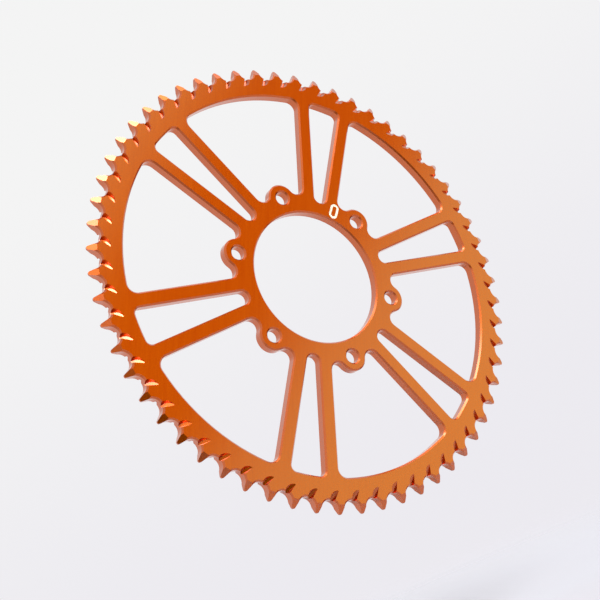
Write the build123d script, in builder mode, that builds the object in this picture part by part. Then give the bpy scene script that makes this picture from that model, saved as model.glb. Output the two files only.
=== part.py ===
from build123d import *
import os
from math import acos, atan2, cos, degrees, hypot, pi, radians, sin, sqrt, tan

# Rear drive sprocket, one machined plate. All sizes are in millimetres.
# The axle runs along Y through the bore centre, the outer face looks along -Y,
# and the first bolt lug stands at +Z. The origin is midway through the plate.

# ---- chain and teeth ----
# The tip rounding is a share of the tooth's waist, and the tooth's chamfer a share of that rounding.
chain_pitch = 12.7
roller_diameter = 7.77
tooth_count = 60
seat_clearance = 0.85
root_relief = 0.5
tooth_height = 6.75
tip_rounding_share = 0.29
tooth_chamfer_share = 0.83

# ---- plate ----
thickness = 5.8
edge_chamfer = 0.8
tip_bevel_length = 4.5
tip_land = 0.8

# ---- hub ----
# The bolt circle is set out from the edge of the bore.
bore_diameter = 73.0
bolt_count = 6
bolt_circle_inset = 9.2
bolt_hole_diameter = 7.2
lug_radius = 7.8
pocket_radius = 4.3

# ---- spokes and rim ----
rim_width = 10.75
spoke_width = 7.3
spoke_lean = 6.0
spoke_offset = 1.41
wide_corner_radius = 4.8
narrow_corner_radius = 3.2
hub_ring_width = 7.8

# ---- mud grooves at the tooth roots ----
# A tapered cutter leaves the curved right wall. A plane floor falls away outwards and to the right.
groove_radius = 4.95
groove_shift = 4.75
groove_rise = 0.4
groove_wall_lean = 29.0
groove_reach = 4.75
groove_fall = 24.2
groove_fall_turn = 39.7
groove_edge_offset = 2.0
groove_edge_turn = 26.1
groove_edge_lean = 15.0

# ---- etched mark on the outer face, also set out from the edge of the bore ----
mark_length = 9.0
mark_width = 5.0
mark_line = 1.3
mark_depth = 0.15
mark_gap = 0.02
mark_angle = 41.6
mark_inset = 5.8

# ---- sizes that follow ----
half_thickness = thickness / 2
tooth_angle = 360 / tooth_count
lug_angle = 360 / bolt_count
pitch_radius = chain_pitch / (2 * sin(pi / tooth_count))
seat_radius = roller_diameter / 2 + seat_clearance
root_radius = pitch_radius - roller_diameter / 2 - root_relief
tip_radius = root_radius + tooth_height
tooth_waist = 2 * ((root_radius + seat_radius) * sin(pi / tooth_count) - seat_radius)
tip_rounding = tooth_waist * tip_rounding_share
tooth_chamfer = tip_rounding * tooth_chamfer_share
rim_inner_radius = root_radius - rim_width
bore_radius = bore_diameter / 2
bolt_circle_radius = bore_radius + bolt_circle_inset
mark_circle_radius = bore_radius + mark_inset
cut_margin = 1.0


def polar(radius, angle, centre=(0, 0)):
    """Point at a distance from a centre, at a clockwise angle from the vertical."""
    return (centre[0] + radius * sin(radians(angle)), centre[1] + radius * cos(radians(angle)))


def turned(point, angle):
    """The point moved clockwise around the bore centre."""
    return polar(hypot(*point), degrees(atan2(*point)) + angle)


def mirrored(point):
    """The same point on the other side of the vertical."""
    return (-point[0], point[1])


def along(lean, distance, offset):
    """Point on a line that leans clockwise from the vertical and passes beside the centre."""
    lean = radians(lean)
    return (
        distance * sin(lean) + offset * cos(lean),
        distance * cos(lean) - offset * sin(lean),
    )


def between(start, end, fraction):
    """Point part of the way from one point to another."""
    return tuple(a + (b - a) * fraction for a, b in zip(start, end))


def arc_middle(centre, radius, start, end):
    """Middle of the short arc between two points on a circle."""
    middle = between(start, end, 1 / 2)
    reach = radius / hypot(middle[0] - centre[0], middle[1] - centre[1])
    return between(centre, middle, reach)


def rim_corner(lean, offset, radius):
    """Rounding between a spoke edge and the rim: edge point, middle and rim point."""
    distance = sqrt((rim_inner_radius - radius) ** 2 - (offset - radius) ** 2)
    centre = along(lean, distance, offset - radius)
    on_edge = along(lean, distance, offset)
    on_rim = between((0, 0), centre, rim_inner_radius / (rim_inner_radius - radius))
    return on_edge, arc_middle(centre, radius, on_edge, on_rim), on_rim


# Each spoke of a pair leans away from the middle of its pair.
wide_lean = lug_angle / 2 - spoke_lean
wide_offset = spoke_offset - spoke_width

# ---- outline of the wide window, centred over a lug ----
wide_edge_top, wide_corner_middle, wide_rim_end = rim_corner(
    wide_lean, wide_offset, wide_corner_radius
)
lug_centre = (0, bolt_circle_radius)
lug_reach = lug_radius + pocket_radius
pocket_offset = wide_offset - pocket_radius
pocket_distance = bolt_circle_radius * cos(radians(wide_lean)) + sqrt(
    lug_reach**2 - (pocket_offset + bolt_circle_radius * sin(radians(wide_lean))) ** 2
)
pocket_centre = along(wide_lean, pocket_distance, pocket_offset)
pocket_on_edge = along(wide_lean, pocket_distance, wide_offset)
pocket_on_lug = between(lug_centre, pocket_centre, lug_radius / lug_reach)
pocket_middle = arc_middle(pocket_centre, pocket_radius, pocket_on_edge, pocket_on_lug)

# ---- outline of the narrow window, centred between the spokes of a pair ----
narrow_edge_top, narrow_corner_middle, narrow_rim_end = rim_corner(
    spoke_lean, -spoke_offset, narrow_corner_radius
)
foot_bottom = bore_radius + hub_ring_width
foot_height = (foot_bottom - spoke_offset) / (1 - sin(radians(spoke_lean)))
foot_on_edge = along(spoke_lean, foot_height * cos(radians(spoke_lean)), -spoke_offset)

# ---- outline of one tooth: a straight flank touches the roller seat and the rounded tip ----
seat_centre = (0, root_radius + seat_radius)
tip_centre = polar(tip_radius - tip_rounding, tooth_angle / 2)
flank_run = hypot(tip_centre[0], tip_centre[1] - seat_centre[1])
flank_turn = degrees(
    atan2(tip_centre[0], tip_centre[1] - seat_centre[1])
    + acos((seat_radius + tip_rounding) / flank_run)
)
seat_end = polar(seat_radius, flank_turn, seat_centre)
flank_end = polar(-tip_rounding, flank_turn, tip_centre)

# ---- one mud groove at the top tooth space of the outer face ----
groove_centre = (-groove_shift, root_radius + groove_rise)
groove_taper = tan(radians(groove_wall_lean))


def leaning_plane(point, turn, lean):
    """Plane through a point of the outer face, facing out of it and leaning towards an angle."""
    sideways = polar(sin(radians(lean)), turn)
    return Plane(
        origin=(point[0], -half_thickness, point[1]),
        z_dir=(sideways[0], -cos(radians(lean)), sideways[1]),
    )


groove_floor = leaning_plane(
    polar(-groove_reach, 0, groove_centre), groove_fall_turn, groove_fall
)
groove_edge = leaning_plane(
    polar(groove_edge_offset, groove_edge_turn + 90, groove_centre),
    groove_edge_turn + 90,
    90 - groove_edge_lean,
)

with BuildPart() as groove_cutter:
    with Locations(
        Plane(
            origin=(groove_centre[0], -half_thickness - cut_margin, groove_centre[1]),
            z_dir=(0, 1, 0),
        )
    ):
        Cone(
            groove_radius + cut_margin * groove_taper,
            groove_radius - half_thickness * groove_taper,
            half_thickness + cut_margin,
            align=(Align.CENTER, Align.CENTER, Align.MIN),
        )
    split(bisect_by=groove_floor)
    split(bisect_by=groove_edge)

mark_centre = polar(mark_circle_radius, mark_angle)

with BuildPart() as etched_mark:
    with BuildSketch(Plane.XZ.offset(half_thickness - mark_depth)):
        with Locations(Location((*mark_centre, 0), (0, 0, 90 - mark_angle))):
            SlotOverall(mark_length, mark_width)
            SlotOverall(mark_length - 2 * mark_line, mark_width - 2 * mark_line, mode=Mode.SUBTRACT)
    extrude(amount=mark_depth)

bevel_fall = (half_thickness - tip_land / 2) / tip_bevel_length

with BuildPart() as sprocket_plate:
    with BuildSketch(Plane.XZ):
        with BuildLine():
            for tooth in range(tooth_count):
                turn = tooth * tooth_angle
                left_seat = turned(mirrored(seat_end), turn)
                right_seat = turned(seat_end, turn)
                right_end = turned(flank_end, turn)
                next_end = turned(mirrored(flank_end), turn + tooth_angle)
                ThreePointArc(left_seat, polar(root_radius, turn), right_seat)
                Line(right_seat, right_end)
                ThreePointArc(right_end, polar(tip_radius, turn + tooth_angle / 2), next_end)
                Line(next_end, turned(mirrored(seat_end), turn + tooth_angle))
        make_face()
    extrude(amount=half_thickness, both=True)
    chamfer(sprocket_plate.faces().filter_by(Axis.Y).edges(), tooth_chamfer)

    # Turned bevels narrow the tooth tips from both faces.
    with BuildSketch(Plane.XY):
        for side in (-1, 1):
            Polygon(
                (tip_radius - tip_bevel_length - cut_margin / bevel_fall,
                 side * (half_thickness + cut_margin)),
                (tip_radius + cut_margin, side * (half_thickness + cut_margin)),
                (tip_radius + cut_margin, side * (tip_land / 2 - bevel_fall * cut_margin)),
                align=None,
            )
    revolve(axis=Axis.Y, mode=Mode.SUBTRACT)

    # Windows, bore and bolt holes go straight through.
    with BuildSketch(Plane.XZ):
        for lug in range(bolt_count):
            turn = lug * lug_angle
            with BuildLine():
                for side in (lambda point: point, mirrored):
                    edge_top, corner_middle, rim_end, on_edge, middle, on_lug = (
                        turned(side(point), turn)
                        for point in (
                            wide_edge_top,
                            wide_corner_middle,
                            wide_rim_end,
                            pocket_on_edge,
                            pocket_middle,
                            pocket_on_lug,
                        )
                    )
                    ThreePointArc(rim_end, corner_middle, edge_top)
                    Line(edge_top, on_edge)
                    ThreePointArc(on_edge, middle, on_lug)
                ThreePointArc(
                    turned(wide_rim_end, turn),
                    polar(rim_inner_radius, turn),
                    turned(mirrored(wide_rim_end), turn),
                )
                ThreePointArc(
                    turned(pocket_on_lug, turn),
                    polar(bolt_circle_radius + lug_radius, turn),
                    turned(mirrored(pocket_on_lug), turn),
                )
            make_face()
            turn = (lug + 1 / 2) * lug_angle
            with BuildLine():
                for side in (lambda point: point, mirrored):
                    edge_top, corner_middle, rim_end, on_edge = (
                        turned(side(point), turn)
                        for point in (
                            narrow_edge_top,
                            narrow_corner_middle,
                            narrow_rim_end,
                            foot_on_edge,
                        )
                    )
                    ThreePointArc(rim_end, corner_middle, edge_top)
                    Line(edge_top, on_edge)
                ThreePointArc(
                    turned(narrow_rim_end, turn),
                    polar(rim_inner_radius, turn),
                    turned(mirrored(narrow_rim_end), turn),
                )
                ThreePointArc(
                    turned(foot_on_edge, turn),
                    polar(foot_bottom, turn),
                    turned(mirrored(foot_on_edge), turn),
                )
            make_face()
        Circle(bore_radius)
        with PolarLocations(bolt_circle_radius, bolt_count, start_angle=90):
            Circle(bolt_hole_diameter / 2)
    extrude(amount=half_thickness, both=True, mode=Mode.SUBTRACT)
    chamfer(
        [
            edge
            for face in sprocket_plate.faces().filter_by(Axis.Y)
            for wire in face.inner_wires()
            for edge in wire.edges()
        ],
        edge_chamfer,
    )

    # The same grooves are cut again with the plate turned over.
    outer_face_cutters = [
        groove_cutter.part.rotate(Axis.Y, space * tooth_angle) for space in range(tooth_count)
    ]
    inner_face_cutters = [cutter.rotate(Axis.Z, 180) for cutter in outer_face_cutters]
    add(outer_face_cutters + inner_face_cutters, mode=Mode.SUBTRACT)

    with BuildSketch(Plane.XZ.offset(half_thickness - mark_depth)):
        with Locations(Location((*mark_centre, 0), (0, 0, 90 - mark_angle))):
            SlotOverall(mark_length + 2 * mark_gap, mark_width + 2 * mark_gap)
            SlotOverall(
                mark_length - 2 * mark_line - 2 * mark_gap,
                mark_width - 2 * mark_line - 2 * mark_gap,
                mode=Mode.SUBTRACT,
            )
    extrude(amount=mark_depth + cut_margin, mode=Mode.SUBTRACT)

os.makedirs("parts", exist_ok=True)
for name, piece in (("sprocket_plate", sprocket_plate), ("etched_mark", etched_mark)):
    piece.part.label = name
    export_step(piece.part, f"parts/{name}.step")
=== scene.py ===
from math import cos, radians, sin

import bpy
from mathutils import Euler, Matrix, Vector


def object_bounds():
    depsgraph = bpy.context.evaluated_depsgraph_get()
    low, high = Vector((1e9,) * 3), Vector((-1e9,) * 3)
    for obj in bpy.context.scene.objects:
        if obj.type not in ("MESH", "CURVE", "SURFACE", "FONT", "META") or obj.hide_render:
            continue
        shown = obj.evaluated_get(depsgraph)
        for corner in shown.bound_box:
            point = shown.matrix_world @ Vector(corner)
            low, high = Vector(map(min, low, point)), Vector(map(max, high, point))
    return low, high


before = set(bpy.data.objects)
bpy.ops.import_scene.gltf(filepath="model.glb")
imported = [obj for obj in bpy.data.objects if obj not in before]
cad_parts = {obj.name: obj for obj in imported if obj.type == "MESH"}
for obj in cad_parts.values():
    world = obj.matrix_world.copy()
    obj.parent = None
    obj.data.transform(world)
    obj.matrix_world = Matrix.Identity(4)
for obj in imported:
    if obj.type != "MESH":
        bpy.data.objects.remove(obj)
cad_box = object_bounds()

# Rear sprocket: a satin, fine-brushed orange anodised plate with a pale etched mark.
# Everything is in metres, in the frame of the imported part: the outer face looks along -Y.

# ---- camera ----
CAMERA_PLACE = Vector((-0.33416, -0.43528, -0.0986))
CAMERA_TURN = Euler((radians(100.2759), radians(23.4582), radians(-32.1685)))
CAMERA_LENS = 64.094
SENSOR_WIDTH = 36.0

# The studio is laid out from the camera: its right, its up, and the way back towards it.
STUDIO = CAMERA_TURN.to_matrix()

# ---- floor ----
FLOOR_DROP = 0.075
FLOOR_SOLID_RADIUS = 0.14
FLOOR_FADE_RADIUS = 0.42
FLOOR_DISC_RADIUS = 0.504
FLOOR_DISC_SIDES = 128
FLOOR_FIBRE_SCALE = 60.0
FLOOR_FIBRE_SHADE = 0.985
FLOOR_TONE = (0.445, 0.445, 0.475)

# ---- studio light: directions are right, up and back towards the camera, angles in degrees ----
ROOM_LIGHT = (0.92, 0.92, 0.94)
LIGHT_PATCHES = (
    # direction, inner angle, outer angle, colour
    ((0.5, -0.75, 0.3), 20, 55, (1.15, 0.68, 0.05)),
    ((0.95, 0.0, -0.2), 15, 45, (0.9, 0.62, 0.25)),
    ((0.38, 0.03, 0.92), 14, 44, (0.06, 0.03, 0.0)),
    ((0.13, 0.92, 0.38), 8, 31, (12.0, 12.0, 12.5)),
)
FACE_PANELS = (0.777, 0.58, 0.245)
FACE_PANELS_INNER = 24
FACE_PANELS_OUTER = 40
FACE_PANELS_LIGHT = (1.25, 1.45, 0.65)
GAP_POLE = (-0.693, 0.664, 0.282)
GAP_INNER = 3
GAP_OUTER = 9
GAP_LIGHT = (0.85, 0.25, 0.0)

# Painted shade: the backdrop that the camera sees is painted darker and bluer towards the lower right.
BACKDROP_SLOPE = (-0.5, 0.8, 0.0)
BACKDROP_REACH = 0.25
BACKDROP_SHADED = (0.84, 0.825, 0.87)
BACKDROP_LIT = (0.905, 0.905, 0.905)

# ---- plate finish: the grain leans clockwise from +Z, in degrees, seen from the outer face ----
GRAIN_LEAN = 27.0
GRAIN_STRETCH = 0.03
GRAIN_DEPTH = 0.1
FINE_STREAK_SCALE = 2600.0
BROAD_STREAK_SCALE = 420.0
MOTTLE_SCALE = 38.0
TONE_REACH = 0.35
PLATE_ROUGHNESS = (0.26, 0.36)
ORANGE = (0.56, 0.093, 0.001)


# ------------------------------------------------------------------ node helpers
class Nodes:
    """Adds nodes to one tree with their inputs set or linked in a single call."""

    def __init__(self, tree):
        self.tree = tree
        tree.nodes.clear()

    def add(self, kind, inputs=None, **settings):
        node = self.tree.nodes.new(kind)
        for name, value in settings.items():
            setattr(node, name, value)
        for key, value in (inputs or {}).items():
            socket = node.inputs[key]
            if isinstance(value, bpy.types.NodeSocket):
                self.tree.links.new(value, socket)
            else:
                socket.default_value = value
        return node

    def math(self, operation, *values, clamp=False):
        node = self.add("ShaderNodeMath", dict(enumerate(values)), operation=operation, use_clamp=clamp)
        return node.outputs[0]

    def dot(self, vector, axis):
        node = self.add("ShaderNodeVectorMath", {0: vector, 1: axis}, operation="DOT_PRODUCT")
        return node.outputs["Value"]

    def ramp(self, value, low, high, out_low=0.0, out_high=1.0, smooth=True):
        """Value moved from one range to another, eased at both ends unless smooth is off."""
        node = self.add(
            "ShaderNodeMapRange",
            {"Value": value, "From Min": low, "From Max": high, "To Min": out_low, "To Max": out_high},
            interpolation_type="SMOOTHSTEP" if smooth else "LINEAR",
        )
        return node.outputs["Result"]

    def mix(self, factor, first, second):
        """One colour faded into another."""
        node = self.add("ShaderNodeMix", data_type="RGBA")
        for index, value in ((0, factor), (6, first), (7, second)):
            socket = node.inputs[index]
            if isinstance(value, bpy.types.NodeSocket):
                self.tree.links.new(value, socket)
            else:
                socket.default_value = value
        return node.outputs[2]

    def noise(self, vector, scale, detail=2.0, roughness=0.5):
        node = self.add(
            "ShaderNodeTexNoise",
            {"Vector": vector, "Scale": scale, "Detail": detail, "Roughness": roughness},
        )
        return node.outputs["Fac"]


def opaque(colour):
    """The colour with full alpha."""
    return (*colour, 1.0)


def studio_direction(right, up, back):
    """A direction in the part's frame, from how far it points right, up and back to the camera."""
    return (STUDIO @ Vector((right, up, back))).normalized()


# ------------------------------------------------------------------ materials
def anodised_plate():
    """Orange anodised metal under a clear coat, brushed on the flat faces only."""
    material = bpy.data.materials.new("anodised_plate")
    material.use_nodes = True
    nodes = Nodes(material.node_tree)
    place = nodes.add("ShaderNodeTexCoord").outputs["Object"]
    normal = nodes.add("ShaderNodeNewGeometry").outputs["Normal"]

    # Flat faces are brushed along one direction in the plane of the plate.
    lean = radians(GRAIN_LEAN)
    along_grain = Vector((sin(lean), 0.0, cos(lean)))
    across_grain = Vector((cos(lean), 0.0, -sin(lean)))
    streak_place = nodes.add(
        "ShaderNodeCombineXYZ",
        {
            "X": nodes.dot(place, across_grain),
            "Y": nodes.math("MULTIPLY", nodes.dot(place, along_grain), GRAIN_STRETCH),
            "Z": nodes.math("MULTIPLY", nodes.dot(place, (0.0, 1.0, 0.0)), GRAIN_DEPTH),
        },
    ).outputs[0]
    fine_streak = nodes.noise(streak_place, FINE_STREAK_SCALE, 3.0, 0.6)
    broad_streak = nodes.noise(streak_place, BROAD_STREAK_SCALE, 3.0, 0.55)
    mottle = nodes.noise(place, MOTTLE_SCALE, 4.0, 0.55)
    flat = nodes.ramp(
        nodes.math("ABSOLUTE", nodes.dot(normal, (0.0, 1.0, 0.0))), 0.96, 0.995
    )

    streak = nodes.math(
        "ADD",
        nodes.math("MULTIPLY", nodes.math("SUBTRACT", fine_streak, 0.5), 0.5),
        nodes.math("MULTIPLY", nodes.math("SUBTRACT", broad_streak, 0.5), 0.35),
    )
    streak = nodes.math("MULTIPLY", streak, flat)
    tone = nodes.math(
        "ADD", streak, nodes.math("MULTIPLY", nodes.math("SUBTRACT", mottle, 0.5), 0.22)
    )
    tone = nodes.ramp(tone, -TONE_REACH, TONE_REACH, smooth=False)
    deep = tuple(c * k for c, k in zip(ORANGE, (0.9, 0.8, 0.7)))
    light = tuple(min(1.0, c * k) for c, k in zip(ORANGE, (1.08, 1.25, 2.0)))
    colour = nodes.mix(tone, opaque(deep), opaque(light))
    rough = nodes.ramp(tone, 0.0, 1.0, *PLATE_ROUGHNESS, smooth=False)
    bump = nodes.add(
        "ShaderNodeBump", {"Height": streak, "Strength": 0.25, "Distance": 0.00004}
    ).outputs[0]
    tangent = nodes.add(
        "ShaderNodeCombineXYZ", dict(zip("XYZ", along_grain))
    ).outputs[0]
    shader = nodes.add(
        "ShaderNodeBsdfPrincipled",
        {
            "Base Color": colour,
            "Metallic": 1.0,
            "Roughness": rough,
            "Normal": bump,
            "Anisotropic": 0.5,
            "Tangent": tangent,
            "Coat Weight": 1.0,
            "Coat Roughness": 0.1,
            "Coat IOR": 1.6,
        },
    )
    nodes.add("ShaderNodeOutputMaterial", {"Surface": shader.outputs[0]})
    return material


def etched_metal():
    """Pale matt metal for the etched mark."""
    material = bpy.data.materials.new("etched_metal")
    material.use_nodes = True
    nodes = Nodes(material.node_tree)
    place = nodes.add("ShaderNodeTexCoord").outputs["Object"]
    cloud = nodes.noise(place, 900.0, 4.0, 0.6)
    speck = nodes.noise(place, 6000.0, 2.0, 0.5)
    tone = nodes.math(
        "ADD", nodes.math("MULTIPLY", cloud, 0.6), nodes.math("MULTIPLY", speck, 0.4)
    )
    colour = nodes.mix(
        nodes.ramp(tone, 0.35, 0.65), opaque((0.62, 0.60, 0.58)), opaque((0.86, 0.84, 0.82))
    )
    bump = nodes.add(
        "ShaderNodeBump", {"Height": speck, "Strength": 0.3, "Distance": 0.00003}
    ).outputs[0]
    shader = nodes.add(
        "ShaderNodeBsdfPrincipled",
        {
            "Base Color": colour,
            "Metallic": 0.6,
            "Roughness": nodes.ramp(tone, 0.3, 0.7, 0.5, 0.7),
            "Normal": bump,
        },
    )
    nodes.add("ShaderNodeOutputMaterial", {"Surface": shader.outputs[0]})
    return material


def floor_paper():
    """Pale matt paper that fades into the backdrop, so that no edge or horizon shows."""
    material = bpy.data.materials.new("floor_paper")
    material.use_nodes = True
    nodes = Nodes(material.node_tree)
    place = nodes.add("ShaderNodeTexCoord").outputs["Object"]
    fibre = nodes.noise(place, FLOOR_FIBRE_SCALE, 6.0, 0.6)
    colour = nodes.mix(
        fibre, opaque(tuple(channel * FLOOR_FIBRE_SHADE for channel in FLOOR_TONE)), opaque(FLOOR_TONE)
    )
    paper = nodes.add("ShaderNodeBsdfDiffuse", {"Color": colour}).outputs[0]
    reach = nodes.add("ShaderNodeVectorMath", {0: place}, operation="LENGTH").outputs["Value"]
    fade = nodes.ramp(reach, FLOOR_SOLID_RADIUS, FLOOR_FADE_RADIUS)
    clear = nodes.add("ShaderNodeBsdfTransparent").outputs[0]
    shader = nodes.add("ShaderNodeMixShader", {0: fade, 1: paper, 2: clear})
    nodes.add("ShaderNodeOutputMaterial", {"Surface": shader.outputs[0]})
    return material


# ------------------------------------------------------------------ studio
def studio_world():
    """A pale room with a soft overhead panel, a dark camera side, and a backdrop with painted shade
    towards the lower right.
    """
    world = bpy.data.worlds.new("studio")
    bpy.context.scene.world = world
    world.use_nodes = True
    nodes = Nodes(world.node_tree)
    direction = nodes.add("ShaderNodeTexCoord").outputs["Generated"]
    light = opaque(ROOM_LIGHT)
    for towards, inner, outer, colour in LIGHT_PATCHES:
        nearness = nodes.dot(direction, studio_direction(*towards))
        amount = nodes.ramp(nearness, cos(radians(outer)), cos(radians(inner)))
        light = nodes.mix(amount, light, opaque(colour))

    # The flat face mirrors two side panels with a dark gap between them.
    inside = nodes.ramp(
        nodes.dot(direction, studio_direction(*FACE_PANELS)),
        cos(radians(FACE_PANELS_OUTER)),
        cos(radians(FACE_PANELS_INNER)),
    )
    light = nodes.mix(inside, light, opaque(FACE_PANELS_LIGHT))
    off_gap = nodes.math("ABSOLUTE", nodes.dot(direction, studio_direction(*GAP_POLE)))
    in_gap = nodes.ramp(off_gap, sin(radians(GAP_INNER)), sin(radians(GAP_OUTER)), 1.0, 0.0)
    light = nodes.mix(nodes.math("MULTIPLY", in_gap, inside), light, opaque(GAP_LIGHT))

    # Painted shade on the backdrop: it turns darker and bluer towards the lower right of the view.
    across = nodes.dot(direction, studio_direction(*BACKDROP_SLOPE))
    backdrop = nodes.mix(
        nodes.ramp(across, -BACKDROP_REACH, BACKDROP_REACH),
        opaque(BACKDROP_SHADED),
        opaque(BACKDROP_LIT),
    )
    seen = nodes.add("ShaderNodeLightPath").outputs["Is Camera Ray"]
    glow = nodes.add("ShaderNodeBackground", {"Color": light}).outputs[0]
    drop = nodes.add("ShaderNodeBackground", {"Color": backdrop}).outputs[0]
    shader = nodes.add("ShaderNodeMixShader", {0: seen, 1: glow, 2: drop})
    nodes.add("ShaderNodeOutputWorld", {"Surface": shader.outputs[0]})


def make_floor():
    """A round pale floor a little below the teeth."""
    low, high = cad_box
    bpy.ops.mesh.primitive_circle_add(
        vertices=FLOOR_DISC_SIDES, radius=FLOOR_DISC_RADIUS, fill_type="NGON",
        location=(0.0, 0.0, low.z - FLOOR_DROP),
    )
    floor = bpy.context.object
    floor.name = "floor"
    floor.data.materials.append(floor_paper())


def make_camera():
    """The camera, placed and turned as the constants say, with everything in focus."""
    data = bpy.data.cameras.new("camera")
    data.lens = CAMERA_LENS
    data.sensor_width = SENSOR_WIDTH
    camera = bpy.data.objects.new("camera", data)
    camera.location = CAMERA_PLACE
    camera.rotation_euler = CAMERA_TURN
    bpy.context.scene.collection.objects.link(camera)
    bpy.context.scene.camera = camera


def paint(node, material):
    """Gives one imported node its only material."""
    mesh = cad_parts[node].data
    mesh.materials.clear()
    mesh.materials.append(material)


paint("sprocket_plate", anodised_plate())
paint("etched_mark", etched_metal())
studio_world()
make_floor()
make_camera()
bpy.context.scene.view_settings.view_transform = "Standard"
